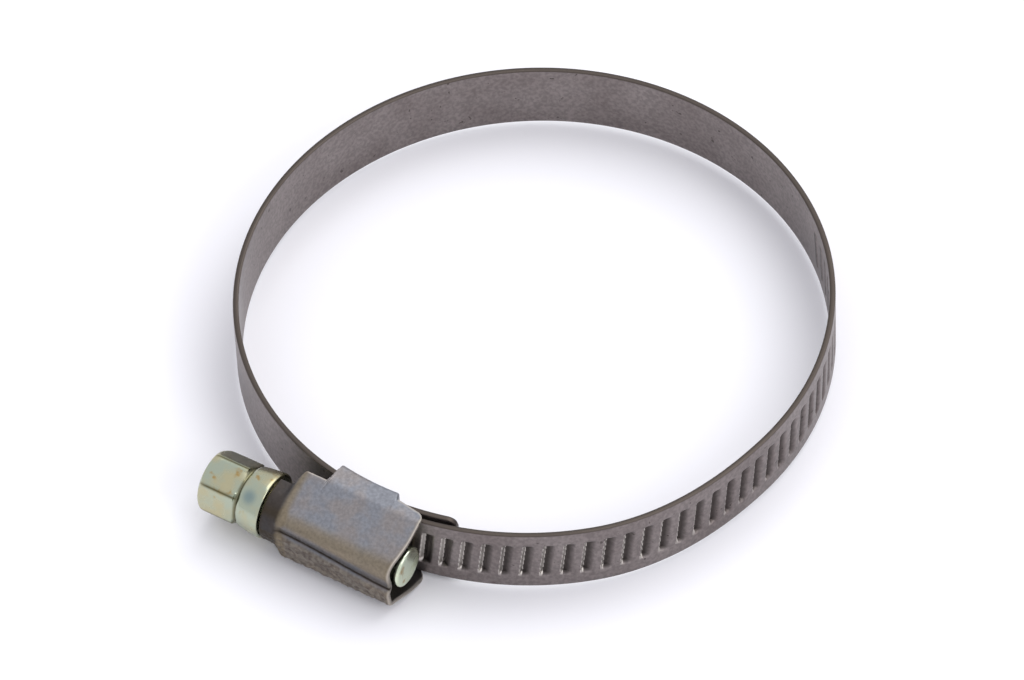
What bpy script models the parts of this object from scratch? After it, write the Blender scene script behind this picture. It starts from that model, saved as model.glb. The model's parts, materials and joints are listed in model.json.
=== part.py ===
"""Worm-drive hose clamp, lying flat: an embossed steel band, a folded housing and a hex-head worm screw.

Frame: +Z up along the loop's axis, the housing on the -Y side, the screw along X with its head towards -X.
The origin is on the floor, under the middle of the whole clamp. Places round the loop are given by an angle
that starts at the middle of the housing (-Y) and grows towards +X, and by a radius from the loop's centre.

The band is one strip on the real clamp. It is cut here into a fixed end and a row of short rigid links, each
swinging about its own centre, so that the loop can close as the screw pulls the toothed end through.
"""

import cmath
import math

import bmesh
import bpy
import numpy as np

MM = 0.001

# The band
LOOP_RADIUS = 35.0 * MM  # outer face of the band, away from the housing
BAND_WIDTH = 9.0 * MM
BAND_THICKNESS = 0.7 * MM
BAND_EDGE_BREAK = 0.1 * MM  # the small bevel on the rolled edges
LAYER_GAP = 0.5 * MM  # between the fixed end and the toothed end that slides over it
SHOULDER_START = math.radians(42)  # where the toothed end starts to come down to the loop's own radius
SHOULDER_END = math.radians(80)
TONGUE_REACH = 10.0 * MM  # how far past the middle the fixed end reaches, under the toothed end
TAIL_REACH = 7.6 * MM  # how far the toothed end has come through, past the middle of the housing
TONGUE_CORNER = 1.2 * MM
TAIL_CORNER = 3.0 * MM

# The links that stand for the bending strip
LINK_COUNT = 11
LINK_GAP = 0.3 * MM
CLOSING_TEETH = 3.75  # travel, in teeth, at which the links meet again without a step
FIRST_HINGE = math.radians(326.4)
LAST_HINGE = math.radians(28)

# The pressed teeth
TOOTH_PITCH = 2.35 * MM
TOOTH_LENGTH = 5.2 * MM  # across the band
TOOTH_MOUTH = 1.4 * MM  # along the band, at the outer face
TOOTH_FLOOR = 0.7 * MM  # along the band, at the bottom of the pocket
TOOTH_DEPTH = 0.45 * MM
TOOTH_ZONE_END = math.radians(140)

# The worm screw
WORM_CREST_RADIUS = 3.0 * MM
WORM_CORE_RADIUS = 2.3 * MM
WORM_TURNS = 5
WORM_START_PITCHES = -3  # where the thread starts, in pitches from the middle of the housing
WORM_CREST_WIDTH = 0.45 * MM
WORM_ROOT_WIDTH = 1.1 * MM
WORM_BITE = 0.25 * MM  # how far the crest reaches into the teeth
RUN_OUT_STEPS = 8  # columns over which each end of the thread fades out
TIP_RADIUS = 2.45 * MM
TIP_CHAMFER = 0.25 * MM
TIP_REACH = 6.7 * MM
NECK_LENGTH = 2.7 * MM
JOURNAL_STEP = 0.3 * MM  # the cone from the journal in the neck down to the worm core
COLLAR_LENGTH = 3.3 * MM
COLLAR_RADIUS = 4.05 * MM
COLLAR_TAPER = 0.3 * MM  # how much smaller the collar is at its hex side
COLLAR_EDGE = 0.25 * MM
HEX_ACROSS_FLATS = 7.0 * MM
HEX_LENGTH = 5.2 * MM
HEX_FACE_RADIUS = 2.6 * MM  # flat middle of the head's end
HEX_DOME = 1.1 * MM  # length of the rounded end
SCREW_COLUMNS = 36
HEX_CORNER_COLUMN = 2  # the column that holds the first corner

# The housing
SHEET = 0.6 * MM
SCREW_CLEARANCE = 0.25 * MM
SIDE_CLEARANCE = 0.2 * MM
LIP_CLEARANCE = 0.2 * MM
LIP_WIDTH = 1.8 * MM
LIP_START = -5.3 * MM
LIP_END = 2.2 * MM
BODY_START = -8.8 * MM
BODY_END = 6.7 * MM
SHOULDER_LENGTH = 0.7 * MM
ARCH_HALF_ANGLE = math.radians(72)
ARCH_STEPS = 16
NECK_DROP = 1.3 * MM  # how far below the axis the neck reaches

ARC_STEP = math.radians(3)

GUIDE_RADIUS = LOOP_RADIUS + BAND_THICKNESS + LAYER_GAP  # outer face of the toothed end inside the housing
TOOTH_ANGLE = TOOTH_PITCH / GUIDE_RADIUS
AXIS_RADIUS = GUIDE_RADIUS - WORM_BITE + WORM_CREST_RADIUS  # loop centre to screw axis
FLARE_DROP = AXIS_RADIUS - GUIDE_RADIUS  # the sides flare out down to the toothed end, then run straight
SKIRT_DROP = AXIS_RADIUS - LOOP_RADIUS  # and cover its edges down to the fixed end
ARCH_INNER = WORM_CREST_RADIUS + SCREW_CLEARANCE
ARCH_OUTER = ARCH_INNER + SHEET
SIDE_INNER = BAND_WIDTH / 2 + SIDE_CLEARANCE
SIDE_OUTER = SIDE_INNER + SHEET
MID_HEIGHT = SIDE_OUTER
LOOP_Y = (AXIS_RADIUS + max(ARCH_OUTER, COLLAR_RADIUS) - LOOP_RADIUS) / 2
COLLAR_FACE = BODY_START - SHOULDER_LENGTH - NECK_LENGTH + SHEET + SCREW_CLEARANCE


def clear_scene():
    for obj in list(bpy.data.objects):
        bpy.data.objects.remove(obj, do_unlink=True)


def make_material(name, colour, roughness):
    material = bpy.data.materials.new(name)
    material.use_nodes = True
    shader = material.node_tree.nodes["Principled BSDF"]
    shader.inputs["Base Color"].default_value = (*colour, 1.0)
    shader.inputs["Roughness"].default_value = roughness
    shader.inputs["Metallic"].default_value = 1.0
    return material


def make_object(name, vertices, faces, material, parent=None):
    """A mesh object whose vertices are given in the clamp's own frame; its origin goes to its parent's."""
    mesh = bpy.data.meshes.new(name)
    mesh.from_pydata(vertices, [], faces)
    mesh.validate()
    shaped = bmesh.new()
    shaped.from_mesh(mesh)
    bmesh.ops.recalc_face_normals(shaped, faces=shaped.faces)
    shaped.to_mesh(mesh)
    shaped.free()
    mesh.shade_smooth()
    mesh.set_sharp_from_angle(angle=math.radians(30))
    obj = bpy.data.objects.new(name, mesh)
    bpy.context.scene.collection.objects.link(obj)
    if material:
        mesh.materials.append(material)
    if parent:
        obj.parent = parent
        obj.matrix_parent_inverse = parent.matrix_world.inverted()
    return obj


def make_pivot(name, place):
    pivot = bpy.data.objects.new(name, None)
    bpy.context.scene.collection.objects.link(pivot)
    pivot.empty_display_size = 3 * MM
    pivot.location = place
    bpy.context.view_layer.update()
    return pivot


def around(radius, angle, height):
    """A point at a radius from the loop's centre, an angle from the housing and a height over the floor."""
    return (radius * math.sin(angle), LOOP_Y - radius * math.cos(angle), height)


def toothed_radius(angle):
    """Outer face of the moving strip: the loop's radius, rising to the guide's in front of the housing."""
    u = min(max((SHOULDER_END - angle) / (SHOULDER_END - SHOULDER_START), 0.0), 1.0)
    return LOOP_RADIUS + (GUIDE_RADIUS - LOOP_RADIUS) * u * u * (3 - 2 * u)


def loop_radius(angle):
    return LOOP_RADIUS


def even_angles(start, end):
    count = max(1, math.ceil(abs(end - start) / ARC_STEP))
    return [start + (end - start) * i / count for i in range(count + 1)]


def rounded_end(start, inward, corner, outer):
    """(angle, how much narrower each edge is there) down a rounded end, from its tip inwards."""
    steps = 6
    stations = []
    for i in range(steps):
        turn = math.pi / 2 * i / steps
        along = corner * (1 - math.cos(turn))
        stations.append((start + inward * along / outer, corner * (1 - math.sin(turn))))
    return stations


def strip_section(radius, angle, narrower):
    """Eight points round the strip's section, with its edges broken."""
    half, inner = BAND_WIDTH / 2 - narrower, radius - BAND_THICKNESS
    b = BAND_EDGE_BREAK
    outline = [
        (radius, -half + b), (radius, half - b), (radius - b, half), (inner + b, half),
        (inner, half - b), (inner, -half + b), (inner + b, -half), (radius - b, -half),
    ]
    return [around(r, angle, MID_HEIGHT + h) for r, h in outline]


def loft(sections):
    """Vertices and faces of a closed body through equal rings of points, capped at both ends."""
    size = len(sections[0])
    vertices = [point for section in sections for point in section]
    faces = []
    for i in range(len(sections) - 1):
        for j in range(size):
            k = (j + 1) % size
            faces.append((i * size + j, i * size + k, (i + 1) * size + k, (i + 1) * size + j))
    faces.append(tuple(range(size)))
    faces.append(tuple(range((len(sections) - 1) * size, len(sections) * size)))
    return vertices, faces


def make_strip(name, stations, radius_at, material, parent=None):
    sections = [strip_section(radius_at(angle), angle, narrower) for angle, narrower in stations]
    return make_object(name, *loft(sections), material, parent)


def tooth_cutter(name, tooth_numbers):
    """One helper mesh with a tapered, slanted, round-ended plug for each tooth."""
    lead = math.atan(TOOTH_PITCH / (2 * math.pi * WORM_CREST_RADIUS))
    end_steps = 5
    rise = BAND_THICKNESS / 2
    taper = (TOOTH_MOUTH - TOOTH_FLOOR) / TOOTH_DEPTH / 2
    vertices, faces = [], []
    for number in tooth_numbers:
        middle = number * TOOTH_ANGLE
        surface = toothed_radius(middle)
        rings = []
        for offset in (-TOOTH_DEPTH, rise):
            half_width = TOOTH_FLOOR / 2 + (offset + TOOTH_DEPTH) * taper
            straight = TOOTH_LENGTH / 2 - TOOTH_MOUTH / 2
            ring = []
            for side in (1, -1):
                for step in range(end_steps + 1):
                    turn = math.pi * step / end_steps
                    along = side * half_width * math.cos(turn)
                    height = side * (straight + half_width * math.sin(turn))
                    slanted = along + height * math.tan(lead)
                    ring.append(around(surface + offset, middle + slanted / surface, MID_HEIGHT + height))
            rings.append(ring)
        first = len(vertices)
        plug_vertices, plug_faces = loft(rings)
        vertices += plug_vertices
        faces += [tuple(first + i for i in face) for face in plug_faces]
    cutter = make_object(name, vertices, faces, None)
    cutter.hide_render = True
    cutter.display_type = "WIRE"
    return cutter


def press_teeth(strip, low, high):
    """Cuts the teeth whose middles lie between two angles."""
    numbers = range(math.ceil(low / TOOTH_ANGLE), math.floor(min(high, TOOTH_ZONE_END) / TOOTH_ANGLE) + 1)
    if not numbers:
        return
    cut = strip.modifiers.new("pressed_teeth", "BOOLEAN")
    cut.operation = "DIFFERENCE"
    cut.object = tooth_cutter("cutter_" + strip.name, numbers)


def hinge_angles():
    """One angle for each link, from the fixed end round to the housing, each midway between two teeth."""
    angles = []
    for i in range(LINK_COUNT):
        even = FIRST_HINGE + (LAST_HINGE - FIRST_HINGE) * i / (LINK_COUNT - 1)
        angles.append((round(even / TOOTH_ANGLE - 0.5) + 0.5) * TOOTH_ANGLE)
    return angles


def chained(bends, points):
    """Where a bend at each point takes the links: link k moves a place z in the XY plane to a * z + b."""
    moves, a, b = [], 1 + 0j, 0j
    for bend, point in zip(bends, points):
        turn = cmath.exp(-1j * bend)
        b += a * (point - turn * point)
        a *= turn
        moves.append((a, b))
    return moves


def shared_bends(hinges, points):
    """The bend at each hinge once the toothed end has turned CLOSING_TEETH teeth about the loop's centre."""

    def bends(bias):
        shares = [1 + bias.real * math.cos(angle) + bias.imag * math.sin(angle) for angle in hinges]
        return [CLOSING_TEETH * TOOTH_ANGLE * share / sum(shares) for share in shares]

    def miss(bias):
        return chained(bends(bias), points)[-1][1]

    bias, step = 0j, 1e-5
    for _ in range(6):  # Newton's method; six rounds settle it
        here = miss(bias)
        slopes = [(miss(bias + side) - here) / step for side in (step, 1j * step)]
        matrix = [[slope.real for slope in slopes], [slope.imag for slope in slopes]]
        bias -= complex(*np.linalg.solve(matrix, [here.real, here.imag]))
    return bends(bias)


def swing_centres(hinges, radii):
    """The place that stays put under each link's move, which is the centre that the link swings about."""
    points = [radius * complex(math.sin(angle), -math.cos(angle)) for angle, radius in zip(hinges, radii)]
    moves = chained(shared_bends(hinges, points), points)
    return [b / (1 - a) for a, b in moves]


def make_band(material):
    half_gap = LINK_GAP / 2
    hinges = hinge_angles()
    tongue_tip = math.asin(TONGUE_REACH / LOOP_RADIUS)
    start = hinges[0] - 2 * math.pi + half_gap / LOOP_RADIUS
    stations = rounded_end(tongue_tip, -1, TONGUE_CORNER, LOOP_RADIUS)
    body_end = tongue_tip - TONGUE_CORNER / LOOP_RADIUS
    stations += [(angle, 0.0) for angle in even_angles(body_end, start)]
    make_strip("band_fixed_end", stations, loop_radius, material)

    tail_tip = -math.asin(TAIL_REACH / GUIDE_RADIUS)
    radii = [toothed_radius(hinge) - BAND_THICKNESS / 2 for hinge in hinges]
    ends = hinges[1:] + [tail_tip]
    for i, centre in enumerate(swing_centres(hinges, radii)):
        pivot = make_pivot(f"pivot_band_{i + 1:02d}", (centre.real, LOOP_Y + centre.imag, MID_HEIGHT))
        high = hinges[i] - half_gap / radii[i]
        if i + 1 < LINK_COUNT:
            name = f"band_section_{i + 1:02d}"
            low = ends[i] + half_gap / radii[i]
            stations = [(angle, 0.0) for angle in even_angles(high, low)]
        else:
            name = "band_toothed_end"
            low = tail_tip + TAIL_CORNER / GUIDE_RADIUS
            stations = [(angle, 0.0) for angle in even_angles(high, low)]
            stations += list(reversed(rounded_end(tail_tip, 1, TAIL_CORNER, GUIDE_RADIUS)))
        strip = make_strip(name, stations, toothed_radius, material, pivot)
        press_teeth(strip, low + TOOTH_MOUTH / GUIDE_RADIUS / 2, high)


def screw_point(x, radius, column):
    """A point on the screw: column 0 faces the band, and columns turn from there towards +Z."""
    turn = 2 * math.pi * column / SCREW_COLUMNS
    return (x, LOOP_Y - AXIS_RADIUS + radius * math.cos(turn), MID_HEIGHT + radius * math.sin(turn))


def hex_radius(column):
    per_side = SCREW_COLUMNS // 6
    from_corner = (column - HEX_CORNER_COLUMN) % per_side
    turn = 2 * math.pi * (from_corner - per_side / 2) / SCREW_COLUMNS
    return HEX_ACROSS_FLATS / 2 / math.cos(turn)


def head_rings():
    """(x, radius of each column) from the head's end to the worm's start."""
    collar_end = COLLAR_FACE
    collar_start = collar_end - COLLAR_LENGTH
    hex_start = collar_start - HEX_LENGTH
    plain = lambda radius: [radius] * SCREW_COLUMNS
    flats = [hex_radius(column) for column in range(SCREW_COLUMNS)]
    rings = []
    dome_steps = 5
    corner = max(flats)
    for i in range(dome_steps + 1):
        share = i / dome_steps
        limit = HEX_FACE_RADIUS + (corner - HEX_FACE_RADIUS) * math.sin(share * math.pi / 2)
        x = hex_start + HEX_DOME * (1 - math.cos(share * math.pi / 2))
        rings.append((x, [min(flat, limit) for flat in flats]))
    small = COLLAR_RADIUS - COLLAR_TAPER
    rings += [
        (collar_start - COLLAR_EDGE, [min(flat, small - COLLAR_EDGE / 2) for flat in flats]),
        (collar_start, plain(small - COLLAR_EDGE / 2)),
        (collar_start + COLLAR_EDGE, plain(small)),
        (collar_end - COLLAR_EDGE, plain(COLLAR_RADIUS)),
        (collar_end, plain(COLLAR_RADIUS - COLLAR_EDGE)),
        (collar_end, plain(WORM_CREST_RADIUS)),
        (BODY_START, plain(WORM_CREST_RADIUS)),
        (BODY_START + JOURNAL_STEP, plain(WORM_CORE_RADIUS)),
    ]
    return rings


def make_screw(material):
    vertices, faces = [], []
    columns = SCREW_COLUMNS

    def add_ring(x, radii):
        first = len(vertices)
        vertices.extend(screw_point(x, radii[column], column) for column in range(columns))
        return [first + column for column in range(columns)]

    def join(one, other):
        for column in range(columns):
            after = (column + 1) % columns
            faces.append((one[column], one[after], other[after], other[column]))

    rings = [add_ring(x, radii) for x, radii in head_rings()]
    faces.append(tuple(rings[0]))
    for one, other in zip(rings, rings[1:]):
        join(one, other)

    # The thread is swept as a ridge of four points round a helix, and fades out at both ends.
    thread_start = WORM_START_PITCHES * TOOTH_PITCH
    last = WORM_TURNS * columns
    profile = (
        (-WORM_ROOT_WIDTH / 2, 0.0),
        (-WORM_CREST_WIDTH / 2, 1.0),
        (WORM_CREST_WIDTH / 2, 1.0),
        (WORM_ROOT_WIDTH / 2, 0.0),
    )
    ridge = []
    for step in range(last + 1):
        fade = min(1.0, step / RUN_OUT_STEPS, (last - step) / RUN_OUT_STEPS)
        height = (WORM_CREST_RADIUS - WORM_CORE_RADIUS) * fade
        x = thread_start + TOOTH_PITCH * step / columns
        ridge.append(range(len(vertices), len(vertices) + len(profile)))
        vertices.extend(screw_point(x + along, WORM_CORE_RADIUS + height * up, step) for along, up in profile)
    for step in range(last):
        for k in range(3):
            faces.append((ridge[step][k], ridge[step + 1][k], ridge[step + 1][k + 1], ridge[step][k + 1]))
    for step in range(last - columns):
        faces.append(
            (ridge[step][3], ridge[step + 1][3], ridge[step + 1 + columns][0], ridge[step + columns][0])
        )

    before = rings[-1]
    for step in range(columns - 1):
        faces.append((before[step], before[step + 1], ridge[step + 1][0], ridge[step][0]))
    faces.append(
        (before[columns - 1], before[0], *ridge[0], ridge[columns][0], ridge[columns - 1][0])
    )
    thread_end = TIP_REACH - (TIP_RADIUS - WORM_CORE_RADIUS + TIP_CHAMFER) - TIP_CHAMFER
    after = add_ring(thread_end, [WORM_CORE_RADIUS] * columns)
    base = last - columns
    faces.append(
        (ridge[base][3], ridge[base + 1][3], after[1], after[0], *reversed(ridge[last]))
    )
    for step in range(1, columns):
        faces.append(
            (ridge[base + step][3], ridge[base + step + 1][3], after[(step + 1) % columns], after[step])
        )
    tip = [
        add_ring(TIP_REACH - TIP_CHAMFER, [TIP_RADIUS] * columns),
        add_ring(TIP_REACH, [TIP_RADIUS - TIP_CHAMFER] * columns),
    ]
    join(after, tip[0])
    join(tip[0], tip[1])
    faces.append(tuple(tip[1]))

    pivot = make_pivot("pivot_screw", (0.0, LOOP_Y - AXIS_RADIUS, MID_HEIGHT))
    make_object("worm_screw", vertices, faces, material, pivot)


def housing_section(x, skin_radius, reach, flare_drop, side):
    """The folded sheet's section at x: its outer line over the arch and back along its inner line."""
    axis_y = LOOP_Y - AXIS_RADIUS
    lines = []
    for inset in (0.0, SHEET):
        line = []
        for sign in (1, -1):
            skirt = [
                (-reach, sign * (side - inset)),
                (-flare_drop, sign * (side - inset)),
            ]
            steps = range(ARCH_STEPS // 2 + 1)
            arch = []
            for i in steps:
                turn = ARCH_HALF_ANGLE * (1 - i / (ARCH_STEPS / 2))
                arch.append(
                    ((skin_radius - inset) * math.cos(turn), sign * (skin_radius - inset) * math.sin(turn))
                )
            half = skirt + arch
            line += half if sign == 1 else list(reversed(half[:-1]))
        lines.append(line)
    outline = lines[0] + list(reversed(lines[1]))
    return [(x, axis_y - out, MID_HEIGHT + up) for out, up in outline]


def make_housing(material):
    lip_inner = LOOP_RADIUS - BAND_THICKNESS - LIP_CLEARANCE
    deep = AXIS_RADIUS - lip_inner * math.cos(LIP_START / lip_inner) + SHEET + LIP_CLEARANCE
    neck = (ARCH_OUTER, NECK_DROP, NECK_DROP / 2, ARCH_OUTER)
    step_slope = 0.4 * MM
    plan = [
        (BODY_START - SHOULDER_LENGTH - NECK_LENGTH + SHEET + 2 * SCREW_CLEARANCE, *neck),
        (BODY_START - SHOULDER_LENGTH, *neck),
        (BODY_START, ARCH_OUTER, SKIRT_DROP, FLARE_DROP, SIDE_OUTER),
        (LIP_START - step_slope, ARCH_OUTER, SKIRT_DROP, FLARE_DROP, SIDE_OUTER),
        (LIP_START, ARCH_OUTER, deep, FLARE_DROP, SIDE_OUTER),
        (LIP_END, ARCH_OUTER, deep, FLARE_DROP, SIDE_OUTER),
        (LIP_END + step_slope, ARCH_OUTER, SKIRT_DROP, FLARE_DROP, SIDE_OUTER),
        (BODY_END, ARCH_OUTER, SKIRT_DROP, FLARE_DROP, SIDE_OUTER),
    ]
    housing = make_object("housing", *loft([housing_section(*row) for row in plan]), material)

    inner, outer = lip_inner - SHEET, lip_inner
    for sign, side in ((1, "upper"), (-1, "lower")):
        low = SIDE_OUTER - SHEET / 2 - LIP_WIDTH
        high = SIDE_OUTER - SHEET / 2
        sections = []
        inset = 0.1 * MM
        for angle in even_angles((LIP_START + inset) / lip_inner, (LIP_END - inset) / lip_inner):
            sections.append(
                [
                    around(radius, angle, MID_HEIGHT + sign * height)
                    for radius, height in ((inner, low), (outer, low), (outer, high), (inner, high))
                ]
            )
        lip = make_object(f"lip_{side}", *loft(sections), None)
        lip.hide_render = True
        lip.display_type = "WIRE"
        weld = housing.modifiers.new(f"fold_{side}", "BOOLEAN")
        weld.operation = "UNION"
        weld.object = lip


clear_scene()
band_steel = make_material("band_steel", (0.29, 0.27, 0.27), 0.42)
housing_steel = make_material("housing_steel", (0.30, 0.29, 0.29), 0.45)
yellow_zinc = make_material("yellow_zinc", (0.62, 0.60, 0.42), 0.28)
make_band(band_steel)
make_screw(yellow_zinc)
make_housing(housing_steel)
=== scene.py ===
# %% [markdown]
# # A worm-drive hose clamp
# Three pieces of metal make this clamp: a springy steel band with pressed teeth, a housing folded from one
# piece of sheet, and a hex-head worm screw. The frame holds their sizes, places and joints. This script gives
# each of them its finished surface, then adds a floor, soft light and a camera.

# %% Load the frame
import json
import math

import bmesh
import bpy
from mathutils import Matrix, Vector, noise


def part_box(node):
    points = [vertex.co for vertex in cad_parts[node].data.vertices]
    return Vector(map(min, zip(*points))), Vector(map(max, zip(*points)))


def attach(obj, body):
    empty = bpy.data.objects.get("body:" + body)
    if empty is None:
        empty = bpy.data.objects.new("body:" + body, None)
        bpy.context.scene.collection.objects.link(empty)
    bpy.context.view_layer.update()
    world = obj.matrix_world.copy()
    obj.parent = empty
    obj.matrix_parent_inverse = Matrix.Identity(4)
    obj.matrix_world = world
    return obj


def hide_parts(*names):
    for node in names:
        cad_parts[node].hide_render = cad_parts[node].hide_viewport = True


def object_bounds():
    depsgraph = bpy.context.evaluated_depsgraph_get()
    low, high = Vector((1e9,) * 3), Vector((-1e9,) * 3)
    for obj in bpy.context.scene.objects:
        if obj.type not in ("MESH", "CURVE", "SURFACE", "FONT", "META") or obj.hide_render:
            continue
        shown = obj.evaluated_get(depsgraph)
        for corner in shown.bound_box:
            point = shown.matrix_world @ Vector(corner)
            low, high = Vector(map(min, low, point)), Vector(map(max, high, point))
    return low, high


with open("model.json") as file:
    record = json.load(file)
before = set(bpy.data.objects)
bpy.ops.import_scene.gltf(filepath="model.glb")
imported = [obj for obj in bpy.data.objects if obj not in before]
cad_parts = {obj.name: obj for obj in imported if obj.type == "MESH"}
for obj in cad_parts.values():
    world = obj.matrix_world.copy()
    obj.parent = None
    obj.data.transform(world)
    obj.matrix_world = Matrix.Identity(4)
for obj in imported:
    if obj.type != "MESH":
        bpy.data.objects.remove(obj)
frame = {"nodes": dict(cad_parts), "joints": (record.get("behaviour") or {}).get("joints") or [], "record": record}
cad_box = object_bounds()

# %% [markdown]
# The clamp is drawn in millimetres below, and `MM` turns them into Blender's metres. Only a few sizes are
# written here. The places come from the frame: the far side of the whole box gives the loop's centre, and the
# screw's joint gives its axis, which lies as high as the middle of the band.

# %% Sizes and places
MM = 0.001
LOOP_RADIUS = 35.0 * MM  # outer face of the band
GUIDE_RADIUS = 36.2 * MM  # outer face of the toothed end inside the housing
THICKNESS = 0.7 * MM
WIDTH = 9.0 * MM
TOOTH_PITCH = 2.35 * MM
TOOTH_ANGLE = TOOTH_PITCH / GUIDE_RADIUS

screw_joint = next(joint for joint in frame["joints"] if joint["name"] == "screw_turn")
AXIS_Y, AXIS_Z = screw_joint["pos_m"][1], screw_joint["pos_m"][2]
LOOP_Y = cad_box[1][1] - LOOP_RADIUS
AXIS_RADIUS = LOOP_Y - AXIS_Y
print(f"loop centre y {LOOP_Y / MM:.2f} mm, screw {AXIS_RADIUS / MM:.2f} mm from it, {AXIS_Z / MM:.2f} mm up")

# %% [markdown]
# ## The camera
# A small metal part looks best from far back through a long lens, which keeps its ellipses regular. The
# camera stands 50 degrees above the table, turned a third of a right angle towards the screw's tip, and is
# tilted a little, as if held in the hand. The two shifts only place the clamp in the frame.

# %% Camera
VIEW_TURN = math.radians(33.1)
VIEW_ELEVATION = math.radians(50.2)
VIEW_ROLL = math.radians(-2.58)
CAMERA_DISTANCE = 30 * LOOP_RADIUS

camera_data = bpy.data.cameras.new("camera")
camera_data.sensor_width = 36.0
camera_data.lens = 316.0
camera_data.shift_x = -0.0236
camera_data.shift_y = 0.0024
camera_data.clip_end = 10.0
camera = bpy.data.objects.new("camera", camera_data)
bpy.context.scene.collection.objects.link(camera)
turned = (
    Matrix.Rotation(VIEW_TURN, 4, "Z")
    @ Matrix.Rotation(math.pi / 2 - VIEW_ELEVATION, 4, "X")
    @ Matrix.Rotation(VIEW_ROLL, 4, "Z")
)
target = Vector((0.0, LOOP_Y, AXIS_Z - WIDTH / 2))
camera.matrix_world = Matrix.Translation(target + turned.col[2].to_3d() * CAMERA_DISTANCE) @ turned
bpy.context.scene.camera = camera
print(f"camera {CAMERA_DISTANCE:.2f} m away with a {camera_data.lens:.0f} mm lens")

# %% [markdown]
# ## Two helpers
# Colours are written as the sRGB hex values that a paint program shows, and `linear` turns them into what
# Blender's sockets hold. `add` puts one node in a tree: an input is either a plain value or the output of an
# earlier node, so whole trees can be written as a few lines.

# %% Colour and node helpers
def linear(hex_colour):
    """An sRGB hex colour as the linear RGBA that Blender's sockets hold."""
    channels = [int(hex_colour[i : i + 2], 16) / 255 for i in (1, 3, 5)]
    return (*[c / 12.92 if c <= 0.04045 else ((c + 0.055) / 1.055) ** 2.4 for c in channels], 1.0)


def add(tree, kind, inputs=None, out=0, **settings):
    """Adds a node, fills or links its inputs, and hands back one of its outputs."""
    node = tree.nodes.new(kind)
    for name, value in settings.items():
        setattr(node, name, value)
    for key, value in (inputs or {}).items():
        if isinstance(value, bpy.types.NodeSocket):
            tree.links.new(value, node.inputs[key])
        else:
            node.inputs[key].default_value = value
    return node.outputs[out]


print("white is", linear("#FFFFFF")[:3])

# %% [markdown]
# ## Floor and light
# The clamp lies on a white paper sweep in an evenly bright room, so its shadow is only a faint pool. Metal
# shows what is around it, and an even room alone would leave it flat. So a large softbox stands high behind
# the loop and a smaller one on the tip's side.

# %% Floor, world and lights
bpy.context.scene.view_settings.view_transform = "Standard"

FLOOR_HALF = 3.0
floor_mesh = bpy.data.meshes.new("floor")
floor_corners = [(x * FLOOR_HALF, y * FLOOR_HALF, 0) for x, y in ((-1, -1), (1, -1), (1, 1), (-1, 1))]
floor_mesh.from_pydata(floor_corners, [], [(0, 1, 2, 3)])
floor = bpy.data.objects.new("floor", floor_mesh)
bpy.context.scene.collection.objects.link(floor)
paper = bpy.data.materials.new("white_paper_sweep")
paper.use_nodes = True
paper_shader = paper.node_tree.nodes["Principled BSDF"]
paper_shader.inputs["Base Color"].default_value = linear("#F4F3F6")
paper_shader.inputs["Roughness"].default_value = 0.9
paper_shader.inputs["Specular IOR Level"].default_value = 0.1
floor_mesh.materials.append(paper)

world = bpy.data.worlds.new("studio")
bpy.context.scene.world = world
world.use_nodes = True
world.node_tree.nodes["Background"].inputs["Color"].default_value = linear("#F1F2F8")
world.node_tree.nodes["Background"].inputs["Strength"].default_value = 1.0


def soft_light(name, azimuth, elevation, distance, size, power):
    """A square light that faces the clamp; its azimuth counts from the housing's side (-Y) towards +X."""
    data = bpy.data.lights.new(name, "AREA")
    data.energy, data.size = power, size
    light = bpy.data.objects.new(name, data)
    bpy.context.scene.collection.objects.link(light)
    facing = Matrix.Rotation(math.radians(azimuth), 4, "Z") @ Matrix.Rotation(
        math.pi / 2 - math.radians(elevation), 4, "X"
    )
    light.matrix_world = Matrix.Translation(facing.col[2].to_3d() * distance) @ facing


soft_light("overhead_softbox", azimuth=168, elevation=60, distance=0.9, size=0.8, power=3.6)
soft_light("side_softbox", azimuth=80, elevation=40, distance=0.9, size=0.4, power=1.4)
print("stage: floor, world and two softboxes")

# %% [markdown]
# ## Finishes
# Every finish here is a metal, so each starts from the same shader: fully metallic, with the default IOR.
# What tells them apart is drawn with noise on Object coordinates, and each noise gets its scale from the
# size of its patches in millimetres. Marks that follow the shape, such as the painted shade in the teeth,
# come from attributes that the meshes carry. In a colour Mix node, input 0 is the share and inputs 6 and 7
# are the two colours; in a Map Range node, inputs 1 and 2 are the old range and inputs 3 and 4 the new one.

# %% What every metal shares
OBJECT_PLACE = 3  # the Object output of a Texture Coordinate node
FACTOR = 2  # the Fac output of an Attribute node
MIX_COLOUR = 2  # the colour output of a Mix node


def new_metal(name):
    """A material whose shader is a plain metal, with its node tree and each point's place on the object."""
    material = bpy.data.materials.new(name)
    material.use_nodes = True
    tree = material.node_tree
    tree.nodes["Principled BSDF"].inputs["Metallic"].default_value = 1.0
    return material, tree, add(tree, "ShaderNodeTexCoord", out=OBJECT_PLACE)


def per_size(size_mm):
    """The Scale of a noise whose patches are about this many millimetres across."""
    return 1.0 / (size_mm * MM)


def layered(tree, colour, layers):
    """Lays colours over a first one, each by its own share."""
    for share, over in layers:
        inputs = {0: share, 6: colour, 7: linear(over)}
        colour = add(tree, "ShaderNodeMix", inputs, out=MIX_COLOUR, data_type="RGBA")
    return colour


def grained(tree, colour, grain, noise_range, shade_range):
    """Darkens and lightens a colour with a fine grain."""
    ends = dict(enumerate((*noise_range, *shade_range), start=1))
    shade = add(tree, "ShaderNodeMapRange", {0: grain, **ends})
    inputs = {0: 1.0, 6: colour, 7: shade}
    return add(tree, "ShaderNodeMix", inputs, out=MIX_COLOUR, data_type="RGBA", blend_type="MULTIPLY")


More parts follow.
